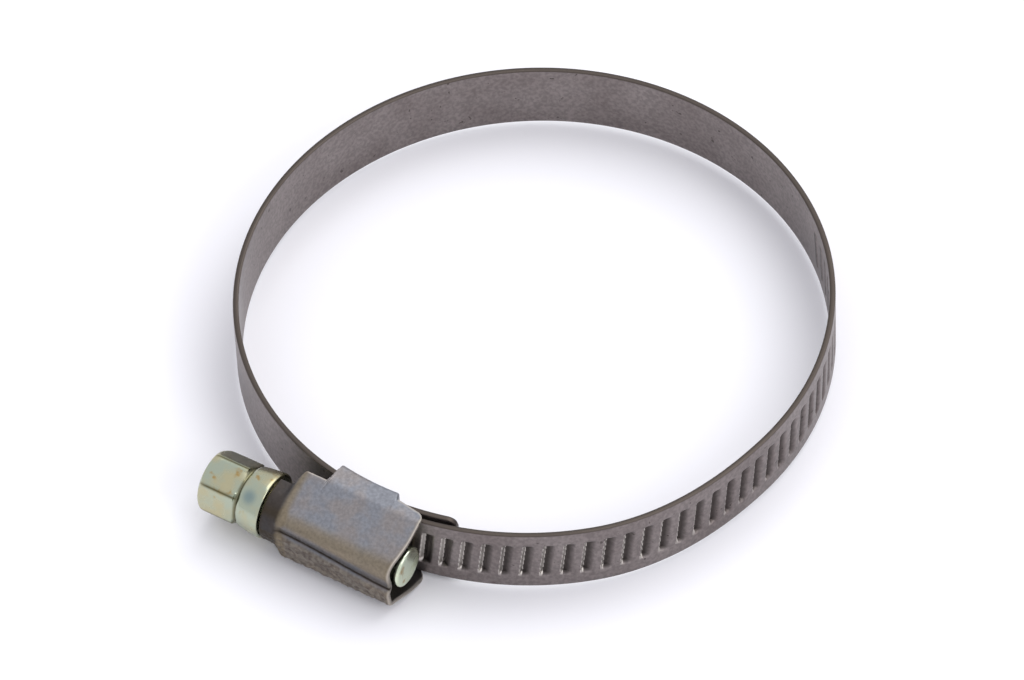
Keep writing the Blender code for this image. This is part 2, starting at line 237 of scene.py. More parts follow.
def finish_metal(tree, colour, clouds, roughness, grain, bump_strength, bump_mm):
    """Links the colour, a roughness that follows the clouds and a bump that follows the grain."""
    rough = add(tree, "ShaderNodeMapRange", {0: clouds, 1: 0.3, 2: 0.7, 3: roughness[0], 4: roughness[1]})
    heights = {"Height": grain, "Strength": bump_strength, "Distance": bump_mm * MM}
    bump = add(tree, "ShaderNodeBump", heights)
    shader = tree.nodes["Principled BSDF"]
    for socket, value in (("Base Color", colour), ("Roughness", rough), ("Normal", bump)):
        tree.links.new(value, shader.inputs[socket])


print("a 1 mm pattern has a noise scale of", per_size(1.0))

# %% [markdown]
# The band is cold-rolled chromium steel strip: grey, slightly warm, and dulled by handling. To the eye that
# is a soft cloudy tarnish 9 mm across, a fine grain, and a few dark specks. The slit edges are darker. Shade
# is painted into the floor and gentle wall of each pressed tooth and onto the bulges on the inner face, and
# a painted highlight brightens the steep wall of each tooth.

# %% Band finish
def rolled_steel():
    """Cold-rolled strip: soft cloudy tarnish, fine dark specks, painted shade in the pressed teeth and a painted
    highlight on their steep walls.
    """
    material, tree, place = new_metal("cold_rolled_chromium_steel")
    clouds = add(tree, "ShaderNodeTexNoise", {"Vector": place, "Scale": per_size(9), "Detail": 4.0})
    cloud_share = add(tree, "ShaderNodeMapRange", {0: clouds, 1: 0.35, 2: 0.68})
    steel = layered(tree, linear("#7A716F"), [(cloud_share, "#8F8785")])
    grain = add(tree, "ShaderNodeTexNoise", {"Vector": place, "Scale": per_size(0.45), "Detail": 6.0})
    steel = grained(tree, steel, grain, (0.38, 0.62), (0.80, 1.08))
    specks = add(tree, "ShaderNodeTexNoise", {"Vector": place, "Scale": per_size(0.9), "Detail": 2.0})
    speck_share = add(tree, "ShaderNodeMapRange", {0: specks, 1: 0.68, 2: 0.74, 4: 0.75})
    edge = add(tree, "ShaderNodeAttribute", out=FACTOR, attribute_name="edge")
    # Painted shade: darkens the floor and gentle wall of each pocket and the bulges on the inner face.
    painted_pocket_shade = add(tree, "ShaderNodeAttribute", out=FACTOR, attribute_name="painted_pocket_shade")
    painted_pocket_shade = add(tree, "ShaderNodeMapRange", {0: painted_pocket_shade, 1: 0.25, 2: 0.9, 4: 0.85})
    # Painted highlight: lightens the steep wall of each pocket on the outer face.
    steep_wall_highlight = add(tree, "ShaderNodeAttribute", out=FACTOR, attribute_name="steep_wall_highlight")
    marks = [(speck_share, "#3F3936"), (edge, "#504944"), (painted_pocket_shade, "#2B2623"), (steep_wall_highlight, "#D8D2CB")]
    finish_metal(tree, layered(tree, steel, marks), clouds, (0.34, 0.50), grain, 0.25, 0.03)
    return material


band_finish = rolled_steel()
print("band finish:", band_finish.name)

# %% [markdown]
# The housing is the same steel, but folding and drawing marked it. Its roof is blotchy in 3 mm patches, the
# worn places are brown, and the lower side is pitted. Painted shade darkens the crease, the wall just above
# it, the neck and the inner face, a brown painted sheen runs along the wall under the shoulder, and the cut
# rim gets a painted highlight.

# %% Housing finish
def folded_steel():
    """Folded sheet: blotchy roof, brown wear and painted sheen, pits on the lower side, a painted rim highlight
    and painted crease shade.
    """
    material, tree, place = new_metal("folded_chromium_steel")
    clouds = add(tree, "ShaderNodeTexNoise", {"Vector": place, "Scale": per_size(3.2), "Detail": 3.0})
    patch = add(tree, "ShaderNodeMapRange", {0: clouds, 1: 0.42, 2: 0.60})
    # Wear, with a brown painted sheen along the wall under the shoulder.
    wear_and_painted_light = add(tree, "ShaderNodeAttribute", out=FACTOR, attribute_name="wear_and_painted_light")
    steel = layered(tree, linear("#8E8988"), [(patch, "#888A90"), (wear_and_painted_light, "#867B69")])
    grain = add(tree, "ShaderNodeTexNoise", {"Vector": place, "Scale": per_size(0.35), "Detail": 6.0})
    steel = grained(tree, steel, grain, (0.36, 0.64), (0.86, 1.06))
    rough_side = add(tree, "ShaderNodeAttribute", out=FACTOR, attribute_name="rough_side")
    pits = add(tree, "ShaderNodeTexNoise", {"Vector": place, "Scale": per_size(0.6), "Detail": 6.0})
    pits = add(tree, "ShaderNodeMapRange", {0: pits, 1: 0.40, 2: 0.66, 4: 0.85})
    pits = add(tree, "ShaderNodeMath", {0: pits, 1: rough_side}, operation="MULTIPLY")
    # Painted highlight along the cut edges of the sheet.
    rim_highlight = add(tree, "ShaderNodeAttribute", out=FACTOR, attribute_name="rim_highlight")
    # Painted shade: dark along the crease, on the wall just above it, over the neck and on the inner face.
    crease = add(tree, "ShaderNodeAttribute", out=FACTOR, attribute_name="crease")
    marks = [(pits, "#574D47"), (rim_highlight, "#BDB5AA"), (crease, "#2F2822")]
    finish_metal(tree, layered(tree, steel, marks), clouds, (0.42, 0.56), grain, 0.3, 0.04)
    return material


housing_finish = folded_steel()
print("housing finish:", housing_finish.name)

# %% [markdown]
# The screw is mild steel with yellow-passivated zinc, a thin clear film that is smoother than the steels
# around it. It turns silver towards green-gold and stains orange where it pooled. The same finish is made
# twice, with a paler pair of colours for the tip.

# %% Screw finish
def yellow_zinc(name, silver, straw):
    """Zinc with a yellow chromate film: green-silver faces, gold and orange stains, olive worn corners and painted
    shade in the collar's groove.
    """
    material, tree, place = new_metal(name)
    clouds = add(tree, "ShaderNodeTexNoise", {"Vector": place, "Scale": per_size(2.6), "Detail": 3.0})
    patch = add(tree, "ShaderNodeMapRange", {0: clouds, 1: 0.40, 2: 0.62})
    stains = add(tree, "ShaderNodeTexNoise", {"Vector": place, "Scale": per_size(1.7), "Detail": 3.0})
    gold = add(tree, "ShaderNodeMapRange", {0: stains, 1: 0.60, 2: 0.70, 4: 0.8})
    bloom = add(tree, "ShaderNodeAttribute", out=FACTOR, attribute_name="bloom")
    # Worn corners of the hexagon, and painted shade in the groove by the collar.
    corner = add(tree, "ShaderNodeAttribute", out=FACTOR, attribute_name="corner")
    marks = [(patch, straw), (gold, "#A68648"), (bloom, "#5F7C88"), (corner, "#57502F")]
    grain = add(tree, "ShaderNodeTexNoise", {"Vector": place, "Scale": per_size(0.5), "Detail": 4.0})
    finish_metal(tree, layered(tree, linear(silver), marks), clouds, (0.18, 0.34), grain, 0.2, 0.03)
    return material


screw_finish = yellow_zinc("yellow_passivated_zinc", "#AAB29F", "#B5AF8F")
tip_finish = yellow_zinc("pale_passivated_zinc", "#D6E0C8", "#CFD6BA")
print("screw finishes:", screw_finish.name, "and", tip_finish.name)

# %% [markdown]
# ## The pressed strip
# The real band is one strip of steel, rolled, stamped with slanted pockets and bent round. Geometry Nodes can
# do the same: sweep a rounded rectangle along a straight line, then bend the bar round the loop and press the
# teeth, point by point, with a little arithmetic. One tree makes every stretch of the band, from named inputs
# for its sizes, so all teeth share one pitch across the joins. The arithmetic is written as short prefix
# expressions, in which a word stands for an input or for a result that already has a name.

# %% Trees and their arithmetic
SOCKET_KINDS = {"Columns": "NodeSocketInt", "Material": "NodeSocketMaterial"}  # all others are floats


def new_tree(name, labels):
    """An empty tree with an input for each label, and its fields by name: at first only those inputs."""
    tree = bpy.data.node_groups.new(name, "GeometryNodeTree")
    tree.interface.new_socket("Geometry", in_out="INPUT", socket_type="NodeSocketGeometry")
    for label in labels:
        kind = SOCKET_KINDS.get(label, "NodeSocketFloat")
        tree.interface.new_socket(label, in_out="INPUT", socket_type=kind)
    tree.interface.new_socket("Geometry", in_out="OUTPUT", socket_type="NodeSocketGeometry")
    sizes = tree.nodes.new("NodeGroupInput").outputs
    return tree, {label: sizes[label] for label in labels}


def finish_tree(tree, geometry, material):
    """Makes real geometry of the result, gives it its material and links it to the tree's output."""
    geometry = add(tree, "GeometryNodeRealizeInstances", {0: geometry})
    geometry = add(tree, "GeometryNodeSetMaterial", {"Geometry": geometry, "Material": material})
    tree.links.new(geometry, tree.nodes.new("NodeGroupOutput").inputs[0])


def math_of(tree, fields, expression):
    """Builds Math nodes from a prefix expression, such as ("MULTIPLY", "radius", ("ADD", "up", 1.0))."""
    if isinstance(expression, str):
        return fields[expression]
    if not isinstance(expression, tuple):
        return expression
    operation, *terms = expression
    inputs = {i: math_of(tree, fields, term) for i, term in enumerate(terms)}
    return add(tree, "ShaderNodeMath", inputs, operation=operation)


def work_out(tree, fields, steps):
    """Adds the result of each (name, expression) to the fields, so that the next ones can use it."""
    for name, expression in steps:
        fields[name] = math_of(tree, fields, expression)


def sweep_along_line(tree, fields, outline):
    """A bar from 0 to 1 with this outline; each point's place along, sideways and up becomes a field."""
    line = add(tree, "GeometryNodeCurvePrimitiveLine", {"Start": (0, 0, 0), "End": (1, 0, 0)})
    line = add(tree, "GeometryNodeResampleCurve", {"Curve": line, "Count": fields["Columns"]})
    swept = {"Curve": line, "Profile Curve": outline, "Fill Caps": True}
    bar = add(tree, "GeometryNodeCurveToMesh", swept)
    parts = tree.nodes.new("ShaderNodeSeparateXYZ")
    tree.links.new(add(tree, "GeometryNodeInputPosition"), parts.inputs[0])
    fields["along"], fields["side"], fields["up"] = parts.outputs
    return bar


def move_points(tree, fields, geometry):
    """Moves each point to the place that the fields x, y and z give."""
    place = add(tree, "ShaderNodeCombineXYZ", {"X": fields["x"], "Y": fields["y"], "Z": fields["z"]})
    return add(tree, "GeometryNodeSetPosition", {"Geometry": geometry, "Position": place})


print("inputs are floats, apart from", ", ".join(SOCKET_KINDS))

# %% [markdown]
# The strip's sizes are the tree's inputs. `drawn_in` rounds the ends: each edge draws in along a quarter
# circle of the corner's radius. The teeth are numbered along the loop, and `offset` says how far a point is
# from its own tooth's middle line, in teeth. Each pocket has a steep wall on the side that the thread pulls
# on, a gentle one opposite, and two end walls.

# %% The strip's inputs and formulas
STRIP_INPUTS = (
    "Start angle", "End angle", "Columns", "Centre y", "Middle height", "Loop radius", "Guide radius",
    "Shoulder start", "Shoulder end", "Width", "Thickness", "Edge radius", "Row spacing", "Start corner",
    "End corner", "Tooth angle", "Tooth pitch", "Tooth depth", "Tooth length", "Mouth width", "Steep wall",
    "End wall", "Inner share", "Lean", "First tooth", "Last tooth", "Material",
)
INNER_SHADE = 0.6  # how much of the painted pocket shade darkens the bulges of the inner face


def drawn_in(from_angle, corner):
    """How far an edge draws in near one end of the strip."""
    reach = ("MULTIPLY", ("ABSOLUTE", ("SUBTRACT", "angle", from_angle)), "base")
    left = ("MAXIMUM", ("SUBTRACT", corner, reach), 0.0)
    rest = ("SQRT", ("MAXIMUM", ("SUBTRACT", ("POWER", corner, 2.0), ("POWER", left, 2.0)), 0.0))
    return ("SUBTRACT", corner, rest)


ANGLE_FORMULA = ("ADD", "Start angle", ("MULTIPLY", "along", ("SUBTRACT", "End angle", "Start angle")))
HEIGHT_FORMULAS = (
    ("narrower", ("ADD", drawn_in("Start angle", "Start corner"), drawn_in("End angle", "End corner"))),
    ("narrowing", ("DIVIDE", ("MULTIPLY", "narrower", 2.0), "Width")),
    ("height", ("MULTIPLY", "up", ("SUBTRACT", 1.0, "narrowing"))),
    ("slant", ("DIVIDE", ("MULTIPLY", "height", "Lean"), "Tooth pitch")),
    ("count", ("SUBTRACT", ("DIVIDE", "angle", "Tooth angle"), "slant")),
    ("offset", ("WRAP", "count", 0.5, -0.5)),
    ("number", ("SUBTRACT", "count", "offset")),
    ("across", ("MULTIPLY", "offset", "Tooth pitch")),
)
WALL_FORMULAS = (
    ("left edge", ("MULTIPLY", "Mouth width", -0.5)),
    ("foot", ("ADD", "left edge", "Steep wall")),
    ("right edge", ("MULTIPLY", "Mouth width", 0.5)),
    ("end edge", ("MULTIPLY", "Tooth length", 0.5)),
    ("end foot", ("SUBTRACT", "end edge", "End wall")),
    ("reach", ("ABSOLUTE", "height")),
)
POCKET_FORMULAS = (
    ("after first", ("GREATER_THAN", "number", ("SUBTRACT", "First tooth", 0.5))),
    ("before last", ("LESS_THAN", "number", ("ADD", "Last tooth", 0.5))),
    ("inside", ("MULTIPLY", ("MINIMUM", "steep", "gentle"), "ends")),
    ("pressed", ("MULTIPLY", "inside", ("MULTIPLY", "after first", "before last"))),
    ("outer", ("GREATER_THAN", "side", 0.0)),
    ("pocket", ("MULTIPLY", "pressed", ("MAXIMUM", "outer", "Inner share"))),
)
PLACE_FORMULAS = (
    ("middle radius", ("SUBTRACT", "base", ("MULTIPLY", "Thickness", 0.5))),
    ("rise", ("SUBTRACT", "side", ("MULTIPLY", "pocket", "Tooth depth"))),
    ("radius", ("ADD", "middle radius", "rise")),
    ("x", ("MULTIPLY", "radius", ("SINE", "angle"))),
    ("y", ("SUBTRACT", "Centre y", ("MULTIPLY", "radius", ("COSINE", "angle")))),
    ("z", ("ADD", "Middle height", "height")),
)
MARK_FORMULAS = (
    # Painted shade in the pockets: the floor and gentle wall on the outer face, and the bulges on the inner face.
    ("inner dirt", ("MULTIPLY", ("LESS_THAN", "side", 0.0), INNER_SHADE)),
    ("dirty", ("MAXIMUM", ("GREATER_THAN", "across", "foot"), "inner dirt")),
    ("painted_pocket_shade", ("MULTIPLY", ("POWER", "pressed", 0.5), "dirty")),
    # Painted highlight on the steep wall of each outer pocket.
    ("on steep wall", ("MULTIPLY", ("LESS_THAN", "across", "foot"), "outer")),
    ("steep_wall_highlight", ("MULTIPLY", ("MULTIPLY", "ends", ("GREATER_THAN", "pocket", 0.02)), "on steep wall")),
    ("rounding", ("SUBTRACT", ("MULTIPLY", "Width", 0.5), ("MULTIPLY", "Edge radius", 0.9))),
    ("edge", ("GREATER_THAN", ("ABSOLUTE", "up"), "rounding")),
)
print("the strip has", len(STRIP_INPUTS), "inputs")

# %% [markdown]
# The tree sweeps the bar first and works out each point's angle round the loop. `base` is the outer face's
# radius there: the loop's own, rising smoothly to the guide's at the shoulder. The pocket goes into the
# outer face, and the punch leaves a low bulge on the inner one. The painted pocket shade, the painted
# highlight on the steep walls and the edge are stored as attributes for the band's finish.

# %% The strip's node tree
def build_strip_tree():
    """The tree that sweeps, bends and presses one stretch of the band."""
    tree, fields = new_tree("pressed_strip", STRIP_INPUTS)
    flat_sizes = {"Width": fields["Thickness"], "Height": fields["Width"]}
    outline = add(tree, "GeometryNodeCurvePrimitiveQuadrilateral", flat_sizes)
    rounding = {"Curve": outline, "Count": 3, "Radius": fields["Edge radius"]}
    outline = add(tree, "GeometryNodeFilletCurve", rounding, mode="POLY")
    spacing = {"Curve": outline, "Length": fields["Row spacing"]}
    outline = add(tree, "GeometryNodeResampleCurve", spacing, mode="LENGTH")
    bar = sweep_along_line(tree, fields, outline)

    fields["angle"] = math_of(tree, fields, ANGLE_FORMULA)
    shoulder = {
        0: fields["angle"],
        1: fields["Shoulder end"],
        2: fields["Shoulder start"],
        3: fields["Loop radius"],
        4: fields["Guide radius"],
    }
    fields["base"] = add(tree, "ShaderNodeMapRange", shoulder, interpolation_type="SMOOTHSTEP")
    work_out(tree, fields, HEIGHT_FORMULAS + WALL_FORMULAS)
    walls = {
        "steep": ("across", "left edge", "foot", 0.0, 1.0),
        "gentle": ("across", "foot", "right edge", 1.0, 0.0),
        "ends": ("reach", "end foot", "end edge", 1.0, 0.0),
    }
    for name, (place, low, high, at_low, at_high) in walls.items():
        wall = {0: fields[place], 1: fields[low], 2: fields[high], 3: at_low, 4: at_high}
        fields[name] = add(tree, "ShaderNodeMapRange", wall, interpolation_type="SMOOTHSTEP")
    work_out(tree, fields, POCKET_FORMULAS + PLACE_FORMULAS + MARK_FORMULAS)
    for label in ("painted_pocket_shade", "steep_wall_highlight", "edge"):
        mark = {"Geometry": bar, "Name": label, "Value": fields[label]}
        bar = add(tree, "GeometryNodeStoreNamedAttribute", mark, data_type="FLOAT", domain="POINT")
    finish_tree(tree, move_points(tree, fields, bar), fields["Material"])
    return tree


strip_tree = build_strip_tree()
print("strip tree:", len(strip_tree.nodes), "nodes")

# %% [markdown]
# A modifier's inputs are set by each socket's identifier. The result becomes a plain mesh, the modifier goes,
# and the faces are made to point outwards.

# %% Turning a tree into a piece
MERGE_DISTANCE = 0.0005 * MM


def piece_from_tree(name, tree, values, body):
    """Runs a tree with the given inputs and leaves its result as a plain mesh that rides on a body."""
    maker = bpy.data.objects.new(name + "_maker", bpy.data.meshes.new(name + "_maker"))
    bpy.context.scene.collection.objects.link(maker)
    modifier = maker.modifiers.new("make", "NODES")
    modifier.node_group = tree
    for item in tree.interface.items_tree:
        if item.in_out == "INPUT" and item.name in values:
            modifier[item.identifier] = values[item.name]
    evaluated = maker.evaluated_get(bpy.context.evaluated_depsgraph_get())
    mesh = bpy.data.meshes.new_from_object(evaluated)
    bpy.data.objects.remove(maker)
    return piece_from_mesh(name, mesh, body)


def piece_from_mesh(name, mesh, body, sharp_degrees=35):
    """Merges doubles, turns faces outwards, smooths all but sharp edges, and sets the piece on its body."""
    mesh.name = name
    shaped = bmesh.new()
    shaped.from_mesh(mesh)
    bmesh.ops.remove_doubles(shaped, verts=shaped.verts, dist=MERGE_DISTANCE)
    bmesh.ops.recalc_face_normals(shaped, faces=shaped.faces)
    shaped.to_mesh(mesh)
    shaped.free()
    mesh.shade_smooth()
    mesh.set_sharp_from_angle(angle=math.radians(sharp_degrees))
    piece = bpy.data.objects.new(name, mesh)
    bpy.context.scene.collection.objects.link(piece)
    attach(piece, body)
    print(f"{name}: {len(mesh.polygons)} faces on {body}")
    return piece


# %% [markdown]
# ## The band
# Each stretch runs between the gaps of the frame's links and meets the next one edge to edge, so the band
# reads as one strip. The toothed stretches get about 24 columns for each tooth; the plain ones need fewer.
# All stretches share one set of sizes, and only their ends, columns and corners differ.

# %% The band's sizes
TOOTH_END = math.radians(140)
FINE_STEP = 0.1 * MM  # between columns, where there are teeth
COARSE_STEP = 0.45 * MM
FIXED_END_STEP = 0.2 * MM
TAIL_CORNER = 3.0 * MM
TONGUE_CORNER = 1.2 * MM

strip_sizes = {
    "Centre y": LOOP_Y,
    "Middle height": AXIS_Z,
    "Loop radius": LOOP_RADIUS,
    "Guide radius": GUIDE_RADIUS,
    "Shoulder start": math.radians(42),
    "Shoulder end": math.radians(80),
    "Width": WIDTH,
    "Thickness": THICKNESS,
    "Edge radius": 0.16 * MM,
    "Row spacing": 0.13 * MM,
    "Start corner": 0.0,
    "End corner": 0.0,
    "Tooth angle": TOOTH_ANGLE,
    "Tooth pitch": TOOTH_PITCH,
    "Tooth depth": 0.5 * MM,
    "Tooth length": 5.5 * MM,
    "Mouth width": 1.65 * MM,
    "Steep wall": 0.42 * MM,
    "End wall": 0.4 * MM,
    "Inner share": 0.25,
    "Lean": math.tan(math.radians(7)),
    "First tooth": -2.0,
    "Last tooth": math.floor(TOOTH_END / TOOTH_ANGLE),
    "Material": band_finish,
}
print(f"a tooth every {math.degrees(TOOTH_ANGLE):.2f} degrees, to number {strip_sizes['Last tooth']}")

# %% [markdown]
# The ends of the CAD links say where each stretch starts and stops. Two neighbours leave a small gap between
# them, and both stretches run on to its middle.

# %% The band's stretches
FULL_TURN = 2 * math.pi


def angle_ends(node):
    """The lowest and highest angle round the loop of a CAD node, counted from the housing towards +X."""
    vertices = frame["nodes"][node].data.vertices
    angles = [math.atan2(vertex.co.x, LOOP_Y - vertex.co.y) for vertex in vertices]
    if max(angles) - min(angles) > math.pi:
        angles = [angle % FULL_TURN for angle in angles]
    return min(angles), max(angles)


def joined(one, other):
    """The angle halfway across the gap between two neighbouring ends."""
    if one - other > math.pi:
        other += FULL_TURN
    return (one + other) / 2


links = sorted(name for name in frame["nodes"] if name.startswith("band_section"))
links.append("band_toothed_end")
ends = {name: angle_ends(name) for name in links}
fixed_low, tongue_tip = angle_ends("band_fixed_end")
body_of = {node: body for body, nodes in frame["record"]["behaviour"]["bodies"].items() for node in nodes}

highs = [joined(ends[links[0]][1] % FULL_TURN, fixed_low % FULL_TURN)]
for before, after in zip(links, links[1:]):
    highs.append(joined(ends[before][0] % FULL_TURN, ends[after][1] % FULL_TURN))
lows = highs[1:] + [ends["band_toothed_end"][0]]

for name, high, low in zip(links, highs, lows):
    step = FINE_STEP if low < TOOTH_END else COARSE_STEP
    values = dict(strip_sizes)
    values["Start angle"], values["End angle"] = low, high
    values["Columns"] = int((high - low) * LOOP_RADIUS / step) + 1
    if name == "band_toothed_end":
        values["Start corner"] = TAIL_CORNER
    piece_name = name.replace("band_", "steel_band_")
    stretch = piece_from_tree(piece_name, strip_tree, values, body_of[name])
    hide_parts(name)

# %% [markdown]
# The fixed end is one more stretch of the same strip. It has no teeth, so its last tooth comes before its
# first, and it has no shoulder, so its guide radius is the loop's own.

# %% The fixed end
values = dict(strip_sizes)
values["Guide radius"] = LOOP_RADIUS
values["First tooth"], values["Last tooth"] = 1.0, 0.0
values["Start angle"], values["End angle"] = highs[0] - FULL_TURN, tongue_tip
values["Columns"] = int((values["End angle"] - values["Start angle"]) * LOOP_RADIUS / FIXED_END_STEP) + 1
values["End corner"] = TONGUE_CORNER
fixed_end = piece_from_tree("steel_band_fixed_end", strip_tree, values, "base")
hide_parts("band_fixed_end")

# %% [markdown]
# ## The worm
# The thread is a ridge that winds round the core, one tooth pitch per turn. The same idea works: sweep a
# circle along a line, then push each point out by a ridge whose place depends on how far along and how far
# round the point is. The ridge fades in and out so that the thread has no open ends.

# %% The worm's node tree
WORM_INPUTS = (
    "Start x", "End x", "Columns", "Axis y", "Axis z", "Core radius", "Thread height", "Crest half",
    "Root half", "Pitch", "Thread start", "Thread end", "Run-out", "Material",
)
ROUND_COLUMNS = 96
WINDING_FORMULAS = (
    ("x", ("ADD", "Start x", ("MULTIPLY", "along", ("SUBTRACT", "End x", "Start x")))),
    ("angle", ("ARCTAN2", "up", "side")),
    ("turns", ("SUBTRACT", ("DIVIDE", "x", "Pitch"), ("DIVIDE", "angle", 2 * math.pi))),
    ("away", ("MULTIPLY", ("ABSOLUTE", ("WRAP", "turns", 0.5, -0.5)), "Pitch")),
    ("run in", ("DIVIDE", ("SUBTRACT", "x", "Thread start"), "Run-out")),
    ("run out", ("DIVIDE", ("SUBTRACT", "Thread end", "x"), "Run-out")),
    ("fade", ("MAXIMUM", ("MINIMUM", ("MINIMUM", "run in", 1.0), "run out"), 0.0)),
)
THREAD_FORMULAS = (
    ("thread", ("MULTIPLY", "Thread height", ("MULTIPLY", "ridge", "fade"))),
    ("radius", ("ADD", "Core radius", "thread")),
    ("y", ("ADD", "Axis y", ("MULTIPLY", "radius", "side"))),
    ("z", ("ADD", "Axis z", ("MULTIPLY", "radius", "up"))),
)


def build_worm_tree():
    """The tree that sweeps the worm's core and raises the thread on it."""
    tree, fields = new_tree("worm_thread", WORM_INPUTS)
    circle = {"Resolution": ROUND_COLUMNS, "Radius": 1.0}
    rod = sweep_along_line(tree, fields, add(tree, "GeometryNodeCurvePrimitiveCircle", circle))
    work_out(tree, fields, WINDING_FORMULAS)
    slope = {0: fields["away"], 1: fields["Crest half"], 2: fields["Root half"], 3: 1.0, 4: 0.0}
    fields["ridge"] = add(tree, "ShaderNodeMapRange", slope)
    work_out(tree, fields, THREAD_FORMULAS)
    finish_tree(tree, move_points(tree, fields, rod), fields["Material"])
    return tree


worm_tree = build_worm_tree()
print("worm tree:", len(worm_tree.nodes), "nodes")

# %% [markdown]
# The thread has the same pitch as the teeth, so it meets each pocket at the same place as the screw turns.
# Its crest reaches a little way into them.

# %% The worm's thread
CORE_RADIUS = 2.3 * MM
worm_sizes = {
    "Start x": -8.4 * MM,
    "End x": 6.2 * MM,
    "Columns": 150,
    "Axis y": AXIS_Y,
    "Axis z": AXIS_Z,
    "Core radius": CORE_RADIUS,
    "Thread height": 0.7 * MM,
    "Crest half": 0.22 * MM,
    "Root half": 0.55 * MM,
    "Pitch": TOOTH_PITCH,
    "Thread start": -7.8 * MM,
    "Thread end": 5.6 * MM,
    "Run-out": 1.0 * MM,
    "Material": screw_finish,
}
piece_from_tree("worm_thread", worm_tree, worm_sizes, "screw")

# %% [markdown]
# ## The screw's head and tip
# The head was cold-formed: a hexagon with soft corners and a domed end, upset against a tapered collar. A
# grid of rings does this well, because each ring's outline can change from a hexagon to a circle. Each column
# of a ring also carries its corner's wear and, by the collar, painted shade in the groove, and one spot on
# the collar has a bluish bloom in the zinc.

# %% Rings of points
COLUMNS = 144
STEPS_PER_RUN = 3  # rings along each straight run of a profile
HEX_LENGTH = 5.2 * MM
COLLAR_LENGTH = 3.3 * MM

screw_low, screw_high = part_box("worm_screw")
HEAD_START, TIP_END = screw_low.x, screw_high.x
COLLAR_START = HEAD_START + HEX_LENGTH
COLLAR_END = COLLAR_START + COLLAR_LENGTH
BLOOM_SPOT = Vector((COLLAR_START + 1.5 * MM, AXIS_Y - 2.3 * MM, AXIS_Z + 3.1 * MM))
BLOOM_CORE, BLOOM_EDGE, BLOOM_SHARE = 0.2 * MM, 1.3 * MM, 0.6


def smooth(value, low, high):
    """0 below low, 1 above high, and an even S between them."""
    share = min(max((value - low) / (high - low), 0.0), 1.0)
    return share * share * (3 - 2 * share)


def ring_piece(name, rings, material):
    """A closed body through rings of (x, radius at each column, corner wear and painted groove shade at each
    column).
    """
    vertices, faces, wear_and_painted_light = [], [], []
    for x, radii, worn in rings:
        for column, radius in enumerate(radii):
            angle = 2 * math.pi * column / COLUMNS
            vertices.append((x, AXIS_Y + radius * math.cos(angle), AXIS_Z + radius * math.sin(angle)))
        wear_and_painted_light += worn
    first_pole, last_pole = len(vertices), len(vertices) + 1
    last_ring = first_pole - COLUMNS
    vertices += [(rings[0][0], AXIS_Y, AXIS_Z), (rings[-1][0], AXIS_Y, AXIS_Z)]
    wear_and_painted_light += [0.0, 0.0]
    for start in range(0, last_ring, COLUMNS):
        for j in range(COLUMNS):
            k = (j + 1) % COLUMNS
            faces.append((start + j, start + k, start + COLUMNS + k, start + COLUMNS + j))
    for j in range(COLUMNS):
        k = (j + 1) % COLUMNS
        faces += [(first_pole, k, j), (last_pole, last_ring + j, last_ring + k)]
    from_spot = [(Vector(vertex) - BLOOM_SPOT).length for vertex in vertices]
    bloom = [BLOOM_SHARE * (1 - smooth(distance, BLOOM_CORE, BLOOM_EDGE)) for distance in from_spot]
    mesh = bpy.data.meshes.new(name)
    mesh.from_pydata(vertices, [], faces)
    for label, values in (("corner", wear_and_painted_light), ("bloom", bloom)):
        mesh.attributes.new(label, "FLOAT", "POINT").data.foreach_set("value", values)
    mesh.materials.append(material)
    return piece_from_mesh(name, mesh, "screw", 50)


def turned_rings(profile, dark_share):
    """Round rings down a profile of (x, radius), its corners kept and its straight runs divided."""
    points = []
    for (x0, r0), (x1, r1) in zip(profile, profile[1:]):
        for i in range(STEPS_PER_RUN):
            points.append((x0 + (x1 - x0) * i / STEPS_PER_RUN, r0 + (r1 - r0) * i / STEPS_PER_RUN))
    points.append(profile[-1])
    return [(x, [radius] * COLUMNS, [dark_share(x)] * COLUMNS) for x, radius in points]


print(f"head from x {HEAD_START / MM:.2f} mm, collar {COLLAR_START / MM:.2f} to {COLLAR_END / MM:.2f} mm")

# %% [markdown]
# The outline of a ring is the smaller of the hexagon's radius and the dome's, blended so that the edge
# between them stays soft. The blend is a power mean: the higher its power, the sharper the edge. The collar
# is turned, and its hex side has a groove where it meets the hexagon, darkened with painted shade.

# %% The hexagonal head
HEX_HALF = 3.5 * MM  # half the size across flats
HEX_SIDE = math.pi / 3
HEX_TURN = math.radians(20)  # where the first corner stands
CORNER_CUT = 0.13 * MM  # how much the corners are rounded off
CORNER_POWER = 90
DOME_POWER = 40
WORN_FROM = 0.88  # share of the way to a corner at which its wear starts
DOME_LENGTH = 1.3 * MM
DOME_REACH = 1.16 * HEX_HALF  # just past the hexagon's corners
DOME_STEPS = 14
FACE_RADIUS = 2.7 * MM
GROOVE_SHADE, GROOVE_HALF = 0.75, 0.25 * MM


def power_mean(one, other, power):
    """The smaller of two radii, with a soft change from one to the other."""
    return (one ** -power + other ** -power) ** (-1 / power)


def hexagon(column):
    """Radius of a hexagon with soft corners, and how worn it is at this column."""
    angle = (2 * math.pi * column / COLUMNS - HEX_TURN) % HEX_SIDE - HEX_SIDE / 2
    corner = HEX_HALF / math.cos(HEX_SIDE / 2) - CORNER_CUT
    near_corner = abs(angle) / (HEX_SIDE / 2)
    worn = max(0.0, (near_corner - WORN_FROM) / (1 - WORN_FROM))
    return power_mean(HEX_HALF / math.cos(angle), corner, CORNER_POWER), worn


